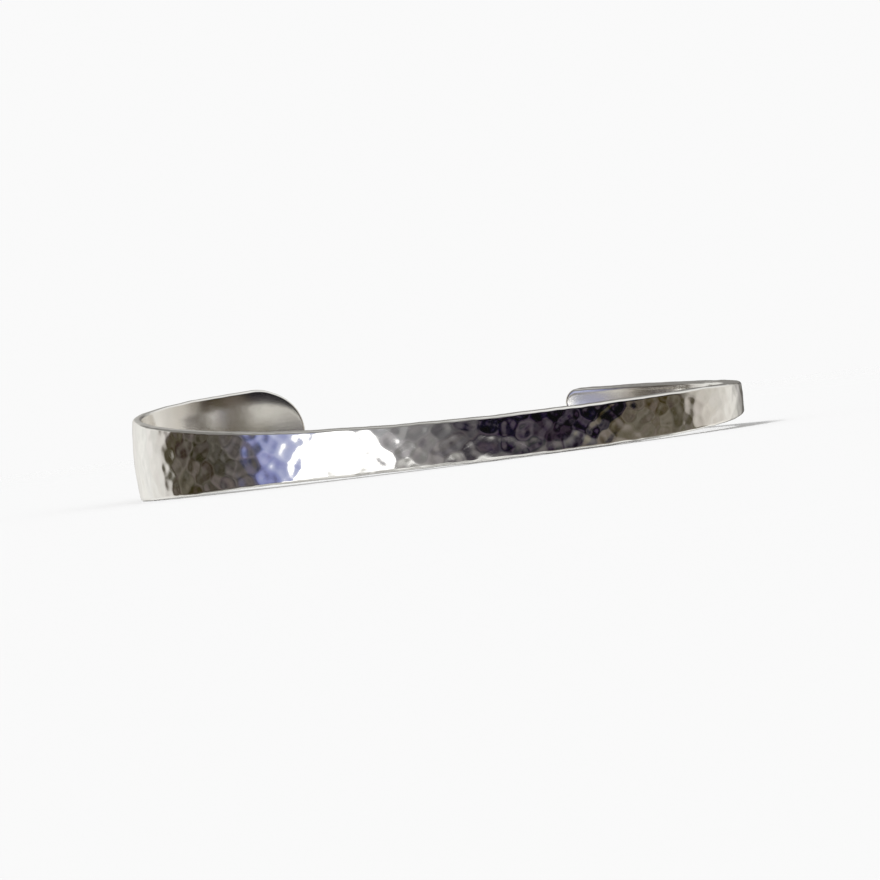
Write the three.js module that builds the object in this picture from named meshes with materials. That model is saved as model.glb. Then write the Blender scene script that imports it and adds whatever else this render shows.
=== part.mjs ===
// A spoon bangle: one flat bar of silver, wide at one end and narrow at the other like the handle of
// a spoon, with its outer face hammered, bent round the wrist into an open cuff.
// Millimetres, +Z up. The cuff lies on its edge, as it rests by itself: the middle of the bar is at
// the front (-Y), the opening at the back (+Y), and the wide end on the left (-X).

import * as THREE from "three";
import { mergeVertices } from "three/addons/utils/BufferGeometryUtils.js";

// The hoop that the bar is bent to, measured on its outer face from the middle of the wrist.
const HOOP_HALF_WIDTH = 33.85;
const HOOP_HALF_DEPTH = 24.75;

// The bar, a row for each section: its distance along the outer face from the middle of the front,
// its width from edge to edge, and its thickness.
const BAR = [
  { along: -76, width: 10.8, thickness: 1.2 },
  { along: -62, width: 10.4, thickness: 1.2 },
  { along: -46, width: 9.1, thickness: 1.3 },
  { along: -30, width: 7.0, thickness: 1.6 },
  { along: -18, width: 5.6, thickness: 1.8 },
  { along: 0, width: 4.8, thickness: 1.9 },
  { along: 28, width: 4.55, thickness: 2.0 },
  { along: 36, width: 4.15, thickness: 2.1 },
  { along: 46, width: 3.4, thickness: 2.2 },
  { along: 60, width: 3.1, thickness: 2.2 },
  { along: 76, width: 3.0, thickness: 2.2 },
];
const WIDE_TIP_LENGTH = 6.5; // the last stretch of the wide end, rounded like a tongue
const NARROW_TIP_LENGTH = 1.6; // and of the narrow end
const EDGE_RADIUS = 0.32; // rounding of the four long corners
const DOME_RADIUS = 30; // the outer face is very slightly domed across its width

// How the cuff leans as it rests on its lower edge, because the bar tapers.
const LEAN_FORWARD = THREE.MathUtils.degToRad(3.27);
const LEAN_SIDEWAYS = THREE.MathUtils.degToRad(1.17);

// Fineness of the faceted surface.
const STATION_TURN = THREE.MathUtils.degToRad(3.1);
const TIP_STEPS = 5;
const CORNER_STEPS = 3;
const DOME_PLACES = [-0.5, 0, 0.5]; // points on the domed face, as parts of its half width
const WELD_DISTANCE = 1e-4;

const QUARTER_TURN = Math.PI / 2;
const HOOP_MEAN = (HOOP_HALF_WIDTH + HOOP_HALF_DEPTH) / 2;
const HOOP_SPREAD = (HOOP_HALF_WIDTH - HOOP_HALF_DEPTH) / 2;

// The hoop is an oval whose outer face, where it has turned by an angle from the front, stands
// HOOP_MEAN - HOOP_SPREAD * cos(2 * angle) from the middle. Its length has this closed form.
function alongAt(angle) {
  return HOOP_MEAN * angle + 1.5 * HOOP_SPREAD * Math.sin(2 * angle);
}

function angleAt(along) {
  let angle = along / HOOP_MEAN;
  for (let round = 0; round < 8; round += 1) {
    const radius = HOOP_MEAN + 3 * HOOP_SPREAD * Math.cos(2 * angle);
    angle -= (alongAt(angle) - along) / radius;
  }
  return angle;
}

// A point of the bar: how far along, how deep under the outer face, and how high above its middle.
function pointOn(along, depth, height) {
  const angle = angleAt(along);
  const outward = HOOP_MEAN - HOOP_SPREAD * Math.cos(2 * angle) - depth;
  const forward = 2 * HOOP_SPREAD * Math.sin(2 * angle);
  return [
    outward * Math.sin(angle) + forward * Math.cos(angle),
    -outward * Math.cos(angle) + forward * Math.sin(angle),
    height,
  ];
}

// Smooth width and thickness between the rows of BAR.
const barSize = new THREE.CubicInterpolant(
  BAR.map((row) => row.along),
  BAR.flatMap((row) => [row.width, row.thickness]),
  2,
);

// The rounded corners of one edge, from the outer face round to the inner one. Each spot is inset from
// the edge's furthest line and lies at a depth under the outer face.
function edgeCorners(thickness) {
  const outer = [];
  for (let step = 0; step <= CORNER_STEPS; step += 1) {
    const turn = (QUARTER_TURN * step) / CORNER_STEPS;
    outer.push({ inset: EDGE_RADIUS * (1 - Math.sin(turn)), depth: EDGE_RADIUS * (1 - Math.cos(turn)) });
  }
  const inner = outer.map(({ inset, depth }) => ({ inset, depth: thickness - depth }));
  return { outer, inner: inner.toReversed() };
}

// One closed section of the bar, as a ring of points. In a rounded tip, start is where the tip begins
// and reach runs from 0 there to 1 at its very end, where the two edges meet. Each layer of the
// corners has a tip of its own, shorter by its inset, so that the rounding runs on round the tip.
function section(start, tipLength = 0, reach = 0) {
  const [width, thickness] = barSize.evaluate(start);
  const { outer, inner } = edgeCorners(thickness);
  const narrowing = Math.sqrt(Math.max(0, 1 - reach * reach));
  const domeEdge = (width / 2 - EDGE_RADIUS) * narrowing;
  const point = (spot, part, onDome) => {
    const along = start + Math.sign(start) * Math.max(0, tipLength - spot.inset) * reach;
    const height = (width / 2 - spot.inset) * narrowing * part;
    const fall = onDome ? Math.min(Math.abs(height), domeEdge) ** 2 / (2 * DOME_RADIUS) : 0;
    return pointOn(along, spot.depth + fall, height);
  };
  return [
    ...DOME_PLACES.map((part) => point(outer[0], part, true)),
    ...outer.map((spot) => point(spot, 1, true)),
    ...inner.map((spot) => point(spot, 1, false)),
    ...inner.toReversed().map((spot) => point(spot, -1, false)),
    ...outer.toReversed().map((spot) => point(spot, -1, true)),
  ];
}

// All the sections, from the end of the wide tip to the end of the narrow one.
function barSections() {
  const wideTipStart = BAR[0].along + WIDE_TIP_LENGTH;
  const narrowTipStart = BAR.at(-1).along - NARROW_TIP_LENGTH;
  const reaches = [];
  for (let step = 0; step <= TIP_STEPS; step += 1) {
    reaches.push(Math.sin((QUARTER_TURN * step) / TIP_STEPS));
  }
  const middles = [];
  const stationsEachWay = Math.ceil(Math.PI / STATION_TURN);
  for (let station = -stationsEachWay; station < stationsEachWay; station += 1) {
    const along = alongAt((station + 0.5) * STATION_TURN);
    if (along > wideTipStart + EDGE_RADIUS && along < narrowTipStart - EDGE_RADIUS) {
      middles.push(along);
    }
  }
  return [
    ...reaches.toReversed().map((reach) => section(wideTipStart, WIDE_TIP_LENGTH, reach)),
    ...middles.map((along) => section(along)),
    ...reaches.map((reach) => section(narrowTipStart, NARROW_TIP_LENGTH, reach)),
  ];
}

// Skins the sections, welds the points that meet at the tips and drops the slivers left there.
function skin(sections) {
  const ring = sections[0].length;
  const triangles = [];
  for (let row = 0; row + 1 < sections.length; row += 1) {
    for (let spot = 0; spot < ring; spot += 1) {
      const next = (spot + 1) % ring;
      const here = row * ring;
      const ahead = here + ring;
      triangles.push(here + spot, ahead + spot, ahead + next, here + spot, ahead + next, here + next);
    }
  }
  const loose = new THREE.BufferGeometry();
  loose.setAttribute("position", new THREE.Float32BufferAttribute(sections.flat(2), 3));
  loose.setIndex(triangles);
  const welded = mergeVertices(loose, WELD_DISTANCE);
  const corners = welded.getIndex().array;
  const kept = [];
  for (let first = 0; first < corners.length; first += 3) {
    const [a, b, c] = corners.slice(first, first + 3);
    if (a !== b && b !== c && c !== a) kept.push(a, b, c);
  }
  welded.setIndex(kept);
  welded.computeVertexNormals();
  return welded;
}

const silver = new THREE.MeshStandardMaterial({ color: 0xe4e2dd, roughness: 0.2, metalness: 1 });
const band = new THREE.Mesh(skin(barSections()), silver);
band.name = "band";
band.rotation.set(LEAN_FORWARD, LEAN_SIDEWAYS, 0);

// The middle of the footprint is at the origin and the lowest point of the edge on the ground.
const extent = new THREE.Box3().setFromObject(band, true);
const middle = extent.getCenter(new THREE.Vector3());
band.position.set(-middle.x, -middle.y, -extent.min.z);

const bangle = new THREE.Group();
bangle.add(band);

export default bangle;
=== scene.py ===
import itertools
import math

import bpy
from mathutils import Matrix, Vector


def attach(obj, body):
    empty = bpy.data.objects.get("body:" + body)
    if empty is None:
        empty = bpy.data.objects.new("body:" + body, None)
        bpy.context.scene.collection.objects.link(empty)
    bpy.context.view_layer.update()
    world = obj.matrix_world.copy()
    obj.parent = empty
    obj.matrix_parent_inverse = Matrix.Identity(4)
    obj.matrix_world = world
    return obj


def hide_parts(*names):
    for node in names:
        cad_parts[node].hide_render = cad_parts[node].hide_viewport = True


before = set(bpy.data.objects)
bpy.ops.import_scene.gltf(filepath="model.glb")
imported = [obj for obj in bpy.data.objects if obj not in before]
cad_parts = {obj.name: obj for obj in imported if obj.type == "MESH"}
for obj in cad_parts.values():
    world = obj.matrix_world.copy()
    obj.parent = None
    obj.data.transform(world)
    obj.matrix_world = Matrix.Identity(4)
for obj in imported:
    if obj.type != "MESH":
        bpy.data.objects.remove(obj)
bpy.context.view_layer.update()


# ---- The bar ------------------------------------------------------------------------------------
# The bangle is one forged bar of sterling silver, flat inside, very slightly domed outside and rounded
# along its edges. It is broad at one end and slim at the other, like the handle of a spoon, and is
# bent cold round an oval former into an open cuff.

MM = 0.001
HOOP_HALF_WIDTH = 33.85 * MM  # to the outer face, from the middle of the wrist
HOOP_HALF_DEPTH = 24.75 * MM

BAR = [  # in millimetres: along the outer face from the middle of the front, width, thickness
    (-76, 10.8, 1.2),
    (-62, 10.4, 1.2),
    (-46, 9.1, 1.3),
    (-30, 7.0, 1.6),
    (-18, 5.6, 1.8),
    (0, 4.8, 1.9),
    (28, 4.55, 2.0),
    (36, 4.15, 2.1),
    (46, 3.4, 2.2),
    (60, 3.1, 2.2),
    (76, 3.0, 2.2),
]
WIDTH_COLUMN = 1
THICKNESS_COLUMN = 2
BAR_END = BAR[-1][0] * MM
LAW_TOP = 12 * MM  # the top of the chart that the widths and thicknesses are drawn on
WIDE_TIP = 6.5 * MM
NARROW_TIP = 1.6 * MM
EDGE_RADIUS = 0.32 * MM
DOME_RADIUS = 30 * MM

# How finely all is drawn: points on the oval, stations along the bar, steps round its section.
OVAL_POINTS = 2401
WIDE_TIP_STATIONS = 40
MIDDLE_STATIONS = 1140
NARROW_TIP_STATIONS = 16
FACE_STEPS = 50
CORNER_STEPS = 5
SIDE_STEPS = 2
INSIDE_STEPS = 6
WELD = 0.002 * MM  # points closer than this, at the tips and along the seam, become one


class Wire:
    """What comes out of a node. A sum written with wires, as on paper, becomes nodes as well."""

    def __init__(self, bench, socket):
        self.bench = bench
        self.socket = socket

    def __add__(self, other):
        return self.bench.sum("ADD", self, other)

    def __sub__(self, other):
        return self.bench.sum("SUBTRACT", self, other)

    def __rsub__(self, other):
        return self.bench.sum("SUBTRACT", other, self)

    def __mul__(self, other):
        return self.bench.sum("MULTIPLY", self, other)

    def __truediv__(self, other):
        return self.bench.sum("DIVIDE", self, other)

    def __pow__(self, other):
        return self.bench.sum("POWER", self, other)


class Bench:
    """A node tree on the bench, with short ways to add a node and to wire it up."""

    def __init__(self, tree):
        self.tree = tree

    def node(self, kind, inputs=(), **settings):
        node = self.tree.nodes.new(kind)
        for setting, value in settings.items():
            setattr(node, setting, value)
        for socket, value in dict(inputs).items():
            self.plug(value, node.inputs[socket])
        return node

    def add(self, kind, inputs=(), output=0, **settings):
        return Wire(self, self.node(kind, inputs, **settings).outputs[output])

    def plug(self, value, socket):
        if isinstance(value, Wire):
            self.tree.links.new(value.socket, socket)
        else:
            socket.default_value = value

    def sum(self, operation, *values):
        return self.add("ShaderNodeMath", enumerate(values), operation=operation)

    def vector_sum(self, operation, *values):
        return self.add("ShaderNodeVectorMath", enumerate(values), operation=operation)

    def scaled(self, vector, factor):
        return self.add("ShaderNodeVectorMath", {0: vector, "Scale": factor}, operation="SCALE")

    def point(self, x, y, z):
        return self.add("ShaderNodeCombineXYZ", {"X": x, "Y": y, "Z": z})

    def ramp(self, value, start, end, low=0.0, high=1.0):
        places = {"Value": value, "From Min": start, "From Max": end, "To Min": low, "To Max": high}
        return self.add("ShaderNodeMapRange", places, clamp=True)


class ShapingBench(Bench):
    """A bench for a tree of geometry nodes, whose inputs are the piece's sizes."""

    def __init__(self, name, sizes):
        super().__init__(bpy.data.node_groups.new(name, "GeometryNodeTree"))
        sockets = self.tree.interface
        sockets.new_socket("Geometry", in_out="INPUT", socket_type="NodeSocketGeometry")
        sockets.new_socket("Silver", in_out="INPUT", socket_type="NodeSocketMaterial")
        for size_name, kind, value in sizes:
            socket = sockets.new_socket(size_name, in_out="INPUT", socket_type="NodeSocket" + kind)
            socket.default_value = value
        sockets.new_socket("Geometry", in_out="OUTPUT", socket_type="NodeSocketGeometry")
        self.inputs = self.node("NodeGroupInput").outputs

    def given(self, name):
        return Wire(self, self.inputs[name])

    def stored(self, name, kind="FLOAT"):
        return self.add("GeometryNodeInputNamedAttribute", {"Name": name}, data_type=kind)

    def store(self, shape, name, value, kind="FLOAT"):
        inputs = {"Geometry": shape, "Name": name, "Value": value}
        return self.add("GeometryNodeStoreNamedAttribute", inputs, data_type=kind, domain="POINT")

    def hand_over(self, shape):
        shape = self.add("GeometryNodeRealizeInstances", {"Geometry": shape})
        shape = self.add("GeometryNodeSetMaterial", {"Geometry": shape, "Material": self.given("Silver")})
        self.plug(shape, self.node("NodeGroupOutput").inputs[0])
        return self.tree


def former_oval(bench):
    """The oval of the outer face. Where it has turned by an angle from the front, its tangent stands
    mean - spread * cos(2 * turn) from the middle of the wrist."""
    mean = (bench.given("Half Width") + bench.given("Half Depth")) * 0.5
    spread = (bench.given("Half Width") - bench.given("Half Depth")) * 0.5
    line = bench.add("GeometryNodeCurvePrimitiveLine")
    line = bench.add("GeometryNodeResampleCurve", {"Curve": line, "Count": OVAL_POINTS})
    index = bench.add("GeometryNodeInputIndex")
    turn = bench.ramp(index, 0.0, OVAL_POINTS - 1.0, -math.pi, math.pi)
    sine = bench.sum("SINE", turn)
    cosine = bench.sum("COSINE", turn)
    outward = mean - spread * bench.sum("COSINE", turn * 2.0)
    forward = spread * 2.0 * bench.sum("SINE", turn * 2.0)
    spot = bench.point(outward * sine + forward * cosine, forward * sine - outward * cosine, 0.0)
    return bench.add("GeometryNodeSetPosition", {"Geometry": line, "Position": spot})


def bar_law(bench, place, column):
    """One of BAR's columns, as a smooth curve drawn over the length of the bar."""
    node = bench.node("ShaderNodeFloatCurve", {"Value": place})
    curve = node.mapping.curves[0]
    rows = [((row[0] * MM / BAR_END + 1) / 2, row[column] * MM / LAW_TOP) for row in BAR]
    curve.points[0].location = rows[0]
    curve.points[1].location = rows[-1]
    for row in rows[1:-1]:
        curve.points.new(*row)
    node.mapping.update()
    return Wire(bench, node.outputs[0]) * LAW_TOP


def bent_bar_tree():
    sizes = [
        ("Half Width", "Float", HOOP_HALF_WIDTH),
        ("Half Depth", "Float", HOOP_HALF_DEPTH),
        ("Wide Tip", "Float", WIDE_TIP),
        ("Narrow Tip", "Float", NARROW_TIP),
        ("Edge Radius", "Float", EDGE_RADIUS),
        ("Dome Radius", "Float", DOME_RADIUS),
    ]
    bench = ShapingBench("bent_bar", sizes)
    radius = bench.given("Edge Radius")
    wide_tip = bench.given("Wide Tip")
    narrow_tip = bench.given("Narrow Tip")

    # A plain sheet, to be wrapped round the bar: X runs along the bar and Y round its section.
    stations = WIDE_TIP_STATIONS + MIDDLE_STATIONS + NARROW_TIP_STATIONS
    ring = FACE_STEPS + 4 * CORNER_STEPS + 2 * SIDE_STEPS + INSIDE_STEPS
    grid = {"Size X": 1.0, "Size Y": 1.0, "Vertices X": stations + 1, "Vertices Y": ring + 1}
    sheet = bench.add("GeometryNodeMeshGrid", grid)
    place = bench.node("ShaderNodeSeparateXYZ", {0: bench.add("GeometryNodeInputPosition")}).outputs
    station = (Wire(bench, place["X"]) + 0.5) * float(stations)
    spot = (Wire(bench, place["Y"]) + 0.5) * float(ring)

    # Round the section: the outer face, a corner, the side, a corner, the inside, and back again.
    # Facing is the angle turned from straight outwards, over the top edge and back by the bottom one.
    edge_steps = (CORNER_STEPS, SIDE_STEPS, CORNER_STEPS)
    ends = list(itertools.accumulate((FACE_STEPS, *edge_steps, INSIDE_STEPS, *edge_steps)))
    shares = [bench.ramp(spot, float(start), float(end)) for start, end in zip([0] + ends, ends)]
    over, corner_1, side_1, corner_2, under, corner_3, side_2, corner_4 = shares
    facing = (corner_1 + corner_2 + corner_3 + corner_4) * (math.pi / 2)
    part = (over - under) * 2.0 - 1.0
    through = side_1 - side_2

    # Along the bar: the rounded tip of the wide end, the middle, and the tip of the narrow end.
    middle_ends = WIDE_TIP_STATIONS + MIDDLE_STATIONS
    wide_share = bench.ramp(station, 0.0, float(WIDE_TIP_STATIONS), 1.0, 0.0)
    narrow_share = bench.ramp(station, float(middle_ends), float(stations))
    wide_reach = bench.sum("SINE", wide_share * (math.pi / 2))
    narrow_reach = bench.sum("SINE", narrow_share * (math.pi / 2))
    first = wide_tip - BAR_END
    last = BAR_END - narrow_tip
    start = bench.ramp(station, float(WIDE_TIP_STATIONS), float(middle_ends), first, last)
    missing = wide_reach ** 2.0 + narrow_reach ** 2.0
    narrowing = bench.sum("SQRT", bench.sum("MAXIMUM", 1.0 - missing, 0.0))
    inset = radius * (1.0 - bench.sum("ABSOLUTE", bench.sum("SINE", facing)))
    along = start + (narrow_tip - inset) * narrow_reach - (wide_tip - inset) * wide_reach

    # The height above the middle line, and the depth under the outer face, which is domed.
    bar_place = start / (2 * BAR_END) + 0.5
    face_half = bar_law(bench, bar_place, WIDTH_COLUMN) * 0.5 - radius
    height = (part * face_half + radius * bench.sum("SINE", facing)) * narrowing
    core = bar_law(bench, bar_place, THICKNESS_COLUMN) - radius * 2.0
    rounding = radius * (1.0 - bench.sum("COSINE", facing))
    dome_place = bench.sum("MINIMUM", bench.sum("ABSOLUTE", height), face_half * narrowing)
    dome = dome_place ** 2.0 / (bench.given("Dome Radius") * 2.0) * (1.0 - through)
    depth = through * core + rounding + dome

    # Laid against the oval, from the middle of the front.
    oval = former_oval(bench)
    from_start = bench.add("GeometryNodeCurveLength", {"Curve": oval}) * 0.5 + along
    sampling = {"Curves": oval, "Length": from_start}
    on_oval = bench.node("GeometryNodeSampleCurve", sampling, mode="LENGTH", use_all_curves=True).outputs
    tangent = Wire(bench, on_oval["Tangent"])
    away = bench.vector_sum("NORMALIZE", bench.vector_sum("CROSS_PRODUCT", tangent, (0.0, 0.0, 1.0)))
    sunk = bench.vector_sum("ADD", Wire(bench, on_oval["Position"]), bench.scaled(away, depth * -1.0))
    position = bench.vector_sum("ADD", sunk, bench.point(0.0, 0.0, height))

    # The later work on the surface needs to know these of each point.
    outer_share = bench.sum("MAXIMUM", bench.sum("COSINE", facing), 0.0) * (1.0 - through)
    shape = bench.store(sheet, "along", along)
    shape = bench.store(shape, "height", height)
    shape = bench.store(shape, "outer_face", outer_share)
    shape = bench.store(shape, "away", away, kind="FLOAT_VECTOR")
    shape = bench.add("GeometryNodeSetPosition", {"Geometry": shape, "Position": position})
    shape = bench.add("GeometryNodeMergeByDistance", {"Geometry": shape, "Distance": WELD})
    shape = bench.add("GeometryNodeSetShadeSmooth", {"Geometry": shape})
    return bench.hand_over(shape)


# ---- The hammer marks ---------------------------------------------------------------------------
# The outer face is planished all over with a ball-faced hammer, which leaves shallow dishes that
# overlap like scales, and squeezes the metal out a little along both edges. A close pass is followed
# by a sparser one with a rounder hammer, and polishing then takes the sharpness off the ridges.

HAMMERING_PASSES = [
    {
        "Spacing": 1.25 * MM,
        "Hammer Radius": 9.0 * MM,
        "Blow Depth": 0.056 * MM,
        "Unevenness": 0.80 * MM,
        "Seed": 11,
    },
    {
        "Spacing": 1.70 * MM,
        "Hammer Radius": 6.5 * MM,
        "Blow Depth": 0.064 * MM,
        "Unevenness": 0.55 * MM,
        "Seed": 29,
    },
]
CROWDING = 3.0  # blows tried in each square of the spacing, before those too close are left out
STRUCK_FACING = 0.5  # blows land where the surface faces outwards by more than this share
EDGE_WAVE = 0.10 * MM
WAVE_LENGTH = 3.5 * MM
WAVE_DETAIL = 2.0
WAVE_FULL_FROM = 1.4 * MM  # the wave is full from this height off the middle line outwards
EDGES_APART = 7.3  # how far off in the noise each edge takes its own wave
RIDGE_POLISH = 11  # times that each point is evened out with its neighbours


def hammering_tree():
    first_pass = HAMMERING_PASSES[0].items()
    sizes = [(name, "Int" if name == "Seed" else "Float", value) for name, value in first_pass]
    bench = ShapingBench("hammering", sizes)
    spacing = bench.given("Spacing")
    seed = bench.given("Seed")
    shape = bench.given("Geometry")
    facing_out = {"A": bench.stored("outer_face"), "B": STRUCK_FACING}
    scattering = {
        "Mesh": shape,
        "Selection": bench.add("FunctionNodeCompare", facing_out, operation="GREATER_THAN"),
        "Distance Min": spacing,
        "Density Max": spacing ** -2.0 * CROWDING,
        "Seed": seed,
    }
    blows = bench.node("GeometryNodeDistributePointsOnFaces", scattering, distribute_method="POISSON").outputs

    # A blow whose centre is lifted off the face leaves a shallower dish, and the dishes still meet.
    uneven = {2: 0.0, 3: bench.given("Unevenness"), "Seed": seed}  # 2 and 3 take the least and the most
    uneven = bench.add("FunctionNodeRandomValue", uneven, output=1, data_type="FLOAT")
    lift = bench.scaled(Wire(bench, blows["Normal"]), uneven)
    lifting = {"Geometry": Wire(bench, blows["Points"]), "Offset": lift}
    centres = bench.add("GeometryNodeSetPosition", lifting)
    distance = bench.add("GeometryNodeProximity", {0: centres}, output="Distance", target_element="POINTS")
    dish = distance ** 2.0 / (bench.given("Hammer Radius") * 2.0)
    struck = bench.sum("MAXIMUM", bench.given("Blow Depth") - dish, bench.stored("struck"))
    return bench.hand_over(bench.store(shape, "struck", struck))


def sinking_tree():
    sizes = [
        ("Edge Wave", "Float", EDGE_WAVE),
        ("Wave Length", "Float", WAVE_LENGTH),
        ("Ridge Polish", "Int", RIDGE_POLISH),
    ]
    bench = ShapingBench("sinking", sizes)
    shape = bench.given("Geometry")
    polishing = {"Value": bench.stored("struck"), "Iterations": bench.given("Ridge Polish")}
    struck = bench.add("GeometryNodeBlurAttribute", polishing, data_type="FLOAT")
    away = bench.stored("away", "FLOAT_VECTOR")
    down = bench.scaled(away, struck * bench.stored("outer_face") * -1.0)
    height = bench.stored("height")
    edge = bench.sum("SIGN", height)
    where = bench.point(bench.stored("along") / bench.given("Wave Length"), edge * EDGES_APART, 0.0)
    wave = bench.add("ShaderNodeTexNoise", {"Vector": where, "Scale": 1.0, "Detail": WAVE_DETAIL})
    swing = (wave - 0.5) * bench.given("Edge Wave") * 2.0
    fullness = bench.sum("MINIMUM", (height / WAVE_FULL_FROM) ** 2.0, 1.0)
    outward = bench.point(0.0, 0.0, swing * fullness * edge)
    moving = {"Geometry": shape, "Offset": bench.vector_sum("ADD", down, outward)}
    return bench.hand_over(bench.add("GeometryNodeSetPosition", moving))


# ---- The silver ---------------------------------------------------------------------------------
# Sterling silver, polished on a soft mop after the hammering. The outer face is bright with a few
# hairlines from wear. The inside keeps the fine lines of the mop, which run along the bar, and a
# faint warm tarnish stays in the deepest marks.

BRIGHT_SILVER = (0.93, 0.915, 0.885, 1.0)
TARNISHED_SILVER = (0.80, 0.76, 0.69, 1.0)
MOP_LINE_LENGTH = 9 * MM
MOP_LINE_WIDTH = 0.07 * MM
HAIRLINE_LENGTH = 3.0 * MM
HAIRLINE_WIDTH = 0.06 * MM
HAIRLINE_ANGLES = (24.0, -38.0)  # degrees from the length of the bar
HAIRLINE_SHARE = (0.68, 0.74)  # only the noise's highest values become hairlines
LINE_DETAIL = 1.0
LINE_RELIEF = 0.0006 * MM  # the depth of a hairline
MOP_LINE_DEPTH = 1.5  # this and the ripples' depth are multiples of a hairline's
RIPPLE_DEPTH = 2.0  # the mop leaves the polish very faintly rippled
RIPPLE_WIDTH = 0.45 * MM
RIPPLE_DETAIL = 2.0
SMEAR_WIDTH = 5 * MM
SMEAR_DETAIL = 3.0
SMEARED = (0.35, 0.7)  # the noise where the face is still clean, and where it is fully smeared
POLISH = (0.05, 0.10)  # roughness of the outer face, where it is clean and where it is smeared
INSIDE_POLISH = 0.07  # rougher by this much inside
TARNISH = 0.4
TARNISHED_SMEARS = (0.45, 0.65)
TARNISHED_DEPTH = 0.75  # tarnish begins at this part of the deepest mark
COLOUR_SOCKETS = (6, 7)  # the Mix node's two colours, whose names other sockets of it share


def blended(bench, first, share, second):
    """The first colour or light, which gives way to the second by a share."""
    first_socket, second_socket = COLOUR_SOCKETS
    inputs = {"Factor": share, first_socket: first, second_socket: second}
    return bench.add("ShaderNodeMix", inputs, output=2, data_type="RGBA")


def brushed(bench, along, height, length, width, degrees=0.0):
    """Fine lines on the face, at an angle to the bar."""
    turn = math.radians(degrees)
    with_lines = along * math.cos(turn) + height * math.sin(turn)
    across_lines = height * math.cos(turn) - along * math.sin(turn)
    where = bench.point(with_lines / length, across_lines / width, degrees)
    return bench.add("ShaderNodeTexNoise", {"Vector": where, "Scale": 1.0, "Detail": LINE_DETAIL})


def polished_silver():
    material = bpy.data.materials.new("polished_silver")
    material.use_nodes = True
    bench = Bench(material.node_tree)
    surface = bench.tree.nodes["Principled BSDF"].inputs
    surface["Metallic"].default_value = 1.0
    along = bench.add("ShaderNodeAttribute", output="Fac", attribute_name="along")
    height = bench.add("ShaderNodeAttribute", output="Fac", attribute_name="height")
    outer = bench.add("ShaderNodeAttribute", output="Fac", attribute_name="outer_face")
    struck = bench.add("ShaderNodeAttribute", output="Fac", attribute_name="struck")
    place = bench.add("ShaderNodeTexCoord", output="Object")

    smears = {"Vector": place, "Scale": 1 / SMEAR_WIDTH, "Detail": SMEAR_DETAIL}
    smears = bench.add("ShaderNodeTexNoise", smears)
    dullness = bench.ramp(smears, *SMEARED, *POLISH)
    bench.plug(dullness + (1.0 - outer) * INSIDE_POLISH, surface["Roughness"])

    deepest = max(blows["Blow Depth"] for blows in HAMMERING_PASSES)
    deep_down = bench.ramp(struck, deepest * TARNISHED_DEPTH, deepest)
    tarnish = deep_down * bench.ramp(smears, *TARNISHED_SMEARS) * TARNISH
    bench.plug(blended(bench, BRIGHT_SILVER, tarnish, TARNISHED_SILVER), surface["Base Color"])

    mop_lines = brushed(bench, along, height, MOP_LINE_LENGTH, MOP_LINE_WIDTH) * (1.0 - outer)
    ripples = {"Vector": place, "Scale": 1 / RIPPLE_WIDTH, "Detail": RIPPLE_DETAIL}
    relief = mop_lines * MOP_LINE_DEPTH + bench.add("ShaderNodeTexNoise", ripples) * RIPPLE_DEPTH
    for degrees in HAIRLINE_ANGLES:
        lines = brushed(bench, along, height, HAIRLINE_LENGTH, HAIRLINE_WIDTH, degrees)
        relief = relief - bench.ramp(lines, *HAIRLINE_SHARE)
    bump = {"Height": relief, "Distance": LINE_RELIEF, "Strength": 1.0}
    bench.plug(bench.add("ShaderNodeBump", bump), surface["Normal"])
    return material


# ---- The finished bangle ------------------------------------------------------------------------
# The bar is bent, hammered and polished, and then lies on the table by itself: on the lower edge of
# its wide end at the back, and on its front, so it leans a little forward and to its slim side.

LEAN_FORWARD = math.radians(3.27)
LEAN_SIDEWAYS = math.radians(1.17)


def work_on(blank, name, tree, silver, sizes=()):
    """Adds one step of the work to the blank, with its sizes set by the sockets' identifiers."""
    step = blank.modifiers.new(name, "NODES")
    step.node_group = tree
    wanted = {"Silver": silver, **dict(sizes)}
    for socket in tree.interface.items_tree:
        if socket.item_type == "SOCKET" and socket.in_out == "INPUT" and socket.name in wanted:
            step[socket.identifier] = wanted[socket.name]


def made_bangle():
    silver = polished_silver()
    blank = bpy.data.objects.new("blank", bpy.data.meshes.new("blank"))
    bpy.context.scene.collection.objects.link(blank)
    work_on(blank, "bending", bent_bar_tree(), silver)
    hammering = hammering_tree()
    for sizes in HAMMERING_PASSES:
        work_on(blank, "hammering", hammering, silver, sizes)
    work_on(blank, "sinking", sinking_tree(), silver)
    bpy.context.view_layer.update()
    evaluated = blank.evaluated_get(bpy.context.evaluated_depsgraph_get())
    finished = bpy.data.meshes.new_from_object(evaluated)
    finished.name = "hammered_band"
    bpy.data.objects.remove(blank)
    return finished


def lay_down(mesh):
    """Leans the mesh, and sets its lowest point on the table and its middle over the origin."""
    mesh.transform(Matrix.Rotation(LEAN_FORWARD, 4, "X") @ Matrix.Rotation(LEAN_SIDEWAYS, 4, "Y"))
    low = Vector([min(vertex.co[axis] for vertex in mesh.vertices) for axis in range(3)])
    high = Vector([max(vertex.co[axis] for vertex in mesh.vertices) for axis in range(3)])
    mesh.transform(Matrix.Translation((-(low.x + high.x) / 2, -(low.y + high.y) / 2, -low.z)))


bangle_mesh = made_bangle()
lay_down(bangle_mesh)
band = bpy.data.objects.new("hammered_band", bangle_mesh)
bpy.context.scene.collection.objects.link(band)
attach(band, "root")
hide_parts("band")


# ---- The table top ------------------------------------------------------------------------------
# A plain pale matt surface, evenly lit by soft daylight from the upper left. It fades at its rim into
# the pale air of the room, which is as bright as the lit table.

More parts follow.
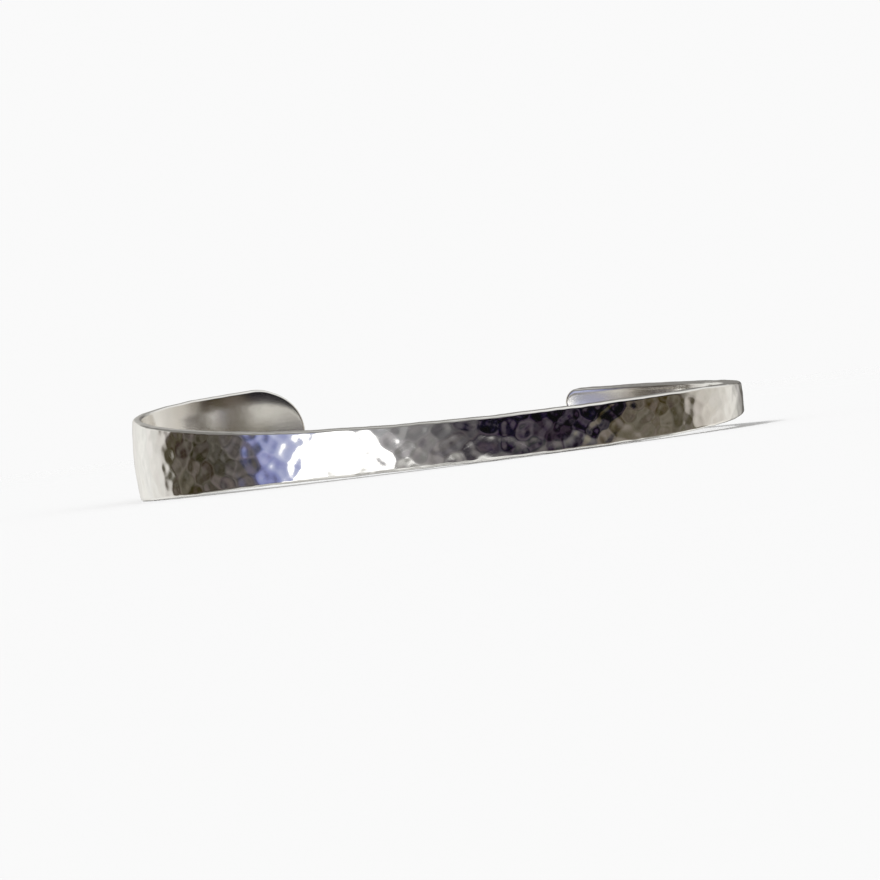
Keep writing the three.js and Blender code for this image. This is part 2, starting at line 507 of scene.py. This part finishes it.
TABLE_WHITE = 0.9
AIR_LIGHT = 0.56  # what the room's air gives to the table, as a part of full light
SUN_LIGHT = 0.50  # and what the daylight adds
SUN_PLACE = (-0.55, -0.25, 0.75)  # the way to it from the bangle
SUN_SPREAD = math.radians(24)
TABLE_RADIUS = 0.5
TABLE_FADES_FROM = 0.25
TABLE_SIDES = 96

# The metal mirrors the table itself only this near, fading out between the two distances. Further off,
# the room's lower part stands for it.
MIRRORED_WITHIN = (0.2 * MM, 0.4 * MM)


def matt_white():
    material = bpy.data.materials.new("matt_white")
    material.use_nodes = True
    bench = Bench(material.node_tree)
    surface = bench.tree.nodes["Principled BSDF"].inputs
    surface["Base Color"].default_value = (TABLE_WHITE, TABLE_WHITE, TABLE_WHITE, 1.0)
    surface["Roughness"].default_value = 1.0
    surface["Specular IOR Level"].default_value = 0.0
    place = bench.add("ShaderNodeTexCoord", output="Object")
    distance = bench.add("ShaderNodeVectorMath", {0: place}, output="Value", operation="LENGTH")
    shown = bench.ramp(distance, TABLE_FADES_FROM, TABLE_RADIUS, 1.0, 0.0)
    rays = bench.node("ShaderNodeLightPath").outputs
    far_off = bench.ramp(Wire(bench, rays["Ray Length"]), *MIRRORED_WITHIN)
    bench.plug(shown * (1.0 - Wire(bench, rays["Is Glossy Ray"]) * far_off), surface["Alpha"])
    return material


def round_table():
    rim = []
    for side in range(TABLE_SIDES):
        turn = math.tau * side / TABLE_SIDES
        rim.append((TABLE_RADIUS * math.cos(turn), TABLE_RADIUS * math.sin(turn), 0.0))
    mesh = bpy.data.meshes.new("table_top")
    mesh.from_pydata(rim, [], [tuple(range(TABLE_SIDES))])
    mesh.materials.append(matt_white())
    return bpy.data.objects.new("table_top", mesh)


table = round_table()
bpy.context.scene.collection.objects.link(table)

sun = bpy.data.lights.new("daylight", "SUN")
sun.angle = SUN_SPREAD
sun_direction = Vector(SUN_PLACE).normalized()
sun.energy = SUN_LIGHT * math.pi / sun_direction.z
sun_holder = bpy.data.objects.new("daylight", sun)
sun_holder.rotation_euler = (-sun_direction).to_track_quat("-Z", "Y").to_euler()
sun_holder.visible_glossy = False  # the metal mirrors the room's own window instead
bpy.context.scene.collection.objects.link(sun_holder)


# ---- The room -----------------------------------------------------------------------------------
# Polished silver has the colours of what stands round it. From the back, going round by the left:
# pale table, brown shelf, blue curtain, bright window, grey wall, dark doorway, olive armchair and
# pale table again. Over them runs a grey cove under the ceiling, and below them lies the table top.

# Bearings are counted from the front to the right and rises from level upwards, all in degrees.
ROOM_WALLS = [  # what stands there, bearing, shade
    ("shaded back", -180, (150, 148, 144)),
    ("pale table", -166, (224, 222, 218)),
    ("pale table", -136, (236, 236, 233)),
    ("pale table", -112, (214, 211, 207)),
    ("brown shelf", -108, (90, 84, 75)),
    ("brown shelf", -84, (80, 74, 68)),
    ("brown shelf", -67, (92, 88, 87)),
    ("blue curtain", -62, (84, 84, 106)),
    ("blue curtain", -57, (142, 147, 192)),
    ("blue curtain", -47, (182, 188, 220)),
    ("grey wall", -38, (196, 200, 214)),
    ("grey wall", -18, (172, 172, 174)),
    ("grey wall", -8, (132, 130, 132)),
    ("grey wall", 4, (78, 75, 79)),
    ("doorway", 16, (52, 46, 58)),
    ("doorway", 30, (33, 24, 44)),
    ("doorway", 62, (27, 19, 34)),
    ("doorway", 87, (84, 78, 72)),
    ("pale table", 100, (192, 187, 179)),
    ("pale table", 134, (228, 226, 221)),
    ("shaded back", 162, (96, 93, 90)),
    ("shaded back", 180, (150, 148, 144)),
]
EYE_LEVEL = -7.0  # the rise that the middle of the bar's outer face mirrors

# The window hangs in front of the walls and the armchair stands there: the bearing of its middle, how
# far it reaches on each side at eye level, how much less for each degree higher, and its soft edge.
WINDOW = (-31.6, 15.4, 0.45, 1.5)
WINDOW_LIGHT = (1.6, 1.6, 1.6, 1.0)
ARMCHAIR = (75.0, 21.0, 1.35, 3.0)
ARMCHAIR_SHADE = (87, 80, 69)
ROUGH_EDGES = 8.0  # degrees by which everything's edges stray
ROUGHNESS_OF_EDGES = 9.0
ROUGHNESS_DETAIL = 3.0

# Small things stand all about: how much lighter the lightest of them is than the darkest.
CLUTTER = 0.10
CLUTTER_FINENESS = 8.0
CLUTTER_CONTRAST = (0.34, 0.66)
CLUTTER_DETAIL = 2.0
TINTS = 0.035
DARKEST = 0.004

# Below and above, a pair of rises or bearings is where a change begins and where it is complete.
FLOOR_GLOW = (0.15, 0.143, 0.13)  # the floor seen on the right, past the table's edge
FLOOR_GLOW_RISE = (-4.0, -24.0)
FLOOR_GLOW_BEARING = (-20.0, 0.0)
TABLE_SHADES = ((0.3, 0.295, 0.285, 1.0), (1.2, 1.2, 1.18, 1.0))  # of its dull and its sunny patches
TABLE_PATCHES = 3.5
TABLE_PATCH_EDGES = (0.4, 0.6)
TABLE_DETAIL = 2.0
TABLE_RISE = (-14.0, -17.5)
HIDDEN_ON_LEFT = (-35.0, -60.0, 21.0)  # between these bearings the table's edge drops by so much
HIDDEN_ON_RIGHT = (15.0, 35.0, 12.0)
UNDERNEATH_SHADE = (0.3, 0.295, 0.28, 1.0)  # where the bangle shades the table itself
UNDERNEATH_RISE = (-30.0, -80.0)
COVE_SHADES = ((0.24, 0.235, 0.225, 1.0), (0.8, 0.8, 0.79, 1.0))  # on the left, and on the right
COVE_RISE = (18.0, 30.0)
CEILING_SHADES = ((0.55, 0.55, 0.54, 1.0), (1.1, 1.1, 1.1, 1.0))
CEILING_RISE = (56.0, 66.0)
BRIGHTER_TO_RIGHT = (0.0, 0.5)  # from straight ahead to this share of the way to the far right

SCREEN_WHITE = 255
SCREEN_GAMMA = 2.2
FULL_TURN = 360.0
DEGREES = FULL_TURN / math.tau


def paint(shades):
    """Screen shades as light."""
    return (*[(shade / SCREEN_WHITE) ** SCREEN_GAMMA for shade in shades], 1.0)


def room_walls(bench, bearing):
    """The walls all round, each shade running smoothly into the next."""
    ramp = bench.node("ShaderNodeValToRGB", {"Fac": bearing / FULL_TURN + 0.5})
    stops = ramp.color_ramp.elements
    stops.remove(stops[1])
    stops[0].color = paint(ROOM_WALLS[0][2])
    for _, degrees, shades in ROOM_WALLS[1:]:
        stops.new(degrees / FULL_TURN + 0.5).color = paint(shades)
    return Wire(bench, ramp.outputs[0])


def standing_there(bench, bearing, rise, thing):
    """1 where the thing is seen in that direction, fading to 0 over its edge."""
    centre, reach, taper, edge = thing
    outside = bench.sum("ABSOLUTE", bearing - centre) - reach + (rise - EYE_LEVEL) * taper
    return bench.ramp(outside, 0.0, -edge)


def mirrored_room(bench):
    """The light that the metal mirrors from each direction."""
    gaze = bench.add("ShaderNodeTexCoord", output="Generated")
    x, y, z = [Wire(bench, way) for way in bench.node("ShaderNodeSeparateXYZ", {0: gaze}).outputs]
    rise = bench.sum("ARCSINE", z) * DEGREES
    bearing = bench.sum("ARCTAN2", x, y * -1.0) * DEGREES
    edges = {"Vector": gaze, "Scale": ROUGHNESS_OF_EDGES, "Detail": ROUGHNESS_DETAIL}
    bearing = bearing + (bench.add("ShaderNodeTexNoise", edges) - 0.5) * ROUGH_EDGES

    light = room_walls(bench, bearing)
    light = blended(bench, light, standing_there(bench, bearing, rise, ARMCHAIR), paint(ARMCHAIR_SHADE))
    small = {"Vector": gaze, "Scale": CLUTTER_FINENESS, "Detail": CLUTTER_DETAIL}
    small = bench.node("ShaderNodeTexNoise", small).outputs
    clutter = (bench.ramp(Wire(bench, small["Fac"]), *CLUTTER_CONTRAST) - 0.5) * CLUTTER
    tints = Wire(bench, small["Color"])
    tints = bench.vector_sum("MULTIPLY_ADD", tints, (TINTS,) * 3, (-TINTS / 2,) * 3)
    glow = bench.ramp(rise, *FLOOR_GLOW_RISE) * bench.ramp(bearing, *FLOOR_GLOW_BEARING)
    for more_light in (tints, clutter, bench.scaled(FLOOR_GLOW, glow)):
        light = bench.vector_sum("ADD", light, more_light)
    light = bench.vector_sum("MAXIMUM", light, (DARKEST,) * 3)
    light = blended(bench, light, standing_there(bench, bearing, rise, WINDOW), WINDOW_LIGHT)

    drop = 0.0
    for start, end, degrees in (HIDDEN_ON_LEFT, HIDDEN_ON_RIGHT):
        drop = bench.ramp(bearing, start, end) * degrees + drop
    patches = {"Vector": gaze, "Scale": TABLE_PATCHES, "Detail": TABLE_DETAIL}
    patches = bench.ramp(bench.add("ShaderNodeTexNoise", patches), *TABLE_PATCH_EDGES)
    table_light = blended(bench, TABLE_SHADES[0], patches, TABLE_SHADES[1])
    light = blended(bench, light, bench.ramp(rise + drop, *TABLE_RISE), table_light)
    light = blended(bench, light, bench.ramp(rise, *UNDERNEATH_RISE), UNDERNEATH_SHADE)
    brighter = bench.ramp(x, *BRIGHTER_TO_RIGHT)
    for (left_shade, right_shade), rises in ((COVE_SHADES, COVE_RISE), (CEILING_SHADES, CEILING_RISE)):
        shade = blended(bench, left_shade, brighter, right_shade)
        light = blended(bench, light, bench.ramp(rise, *rises), shade)
    return light


def hang_room():
    world = bpy.data.worlds.new("room")
    bpy.context.scene.world = world
    world.use_nodes = True
    bench = Bench(world.node_tree)
    bench.tree.nodes.clear()
    rays = bench.node("ShaderNodeLightPath").outputs
    lit_table = TABLE_WHITE * (AIR_LIGHT + SUN_LIGHT)
    seen = bench.add("ShaderNodeBackground", {"Color": (lit_table, lit_table, lit_table, 1.0)})
    air = bench.add("ShaderNodeBackground", {"Color": (AIR_LIGHT, AIR_LIGHT, AIR_LIGHT, 1.0)})
    mirrored = bench.add("ShaderNodeBackground", {"Color": mirrored_room(bench)})
    light = {0: Wire(bench, rays["Is Camera Ray"]), 1: air, 2: seen}
    light = {0: Wire(bench, rays["Is Glossy Ray"]), 1: bench.add("ShaderNodeMixShader", light), 2: mirrored}
    output = bench.node("ShaderNodeOutputWorld")
    bench.plug(bench.add("ShaderNodeMixShader", light), output.inputs["Surface"])


hang_room()


# ---- The camera ---------------------------------------------------------------------------------
# Almost level with the table and nearly in the plane of the hoop, about half a metre off with a long
# lens, and tipped over so that the bar slopes upwards to the right.

CAMERA_DISTANCE = 0.475
CAMERA_RISE = math.radians(0.8)
CAMERA_ROLL = math.radians(7.2)
CAMERA_AIM = Vector((0.0, 0.0, 0.0026))
FRAME_WIDTH = 0.097  # how much is seen from side to side, where the bangle lies
NEAREST_SEEN = 0.01

toward = Vector((0.0, -math.cos(CAMERA_RISE), math.sin(CAMERA_RISE)))
lens = bpy.data.cameras.new("camera")
lens.lens = lens.sensor_width * CAMERA_DISTANCE / FRAME_WIDTH
lens.clip_start = NEAREST_SEEN
camera = bpy.data.objects.new("camera", lens)
camera.location = CAMERA_AIM + toward * CAMERA_DISTANCE
look = (-toward).to_track_quat("-Z", "Y").to_matrix().to_4x4()
camera.rotation_euler = (look @ Matrix.Rotation(-CAMERA_ROLL, 4, "Z")).to_euler()
bpy.context.scene.collection.objects.link(camera)
bpy.context.scene.camera = camera
bpy.context.scene.view_settings.view_transform = "Standard"
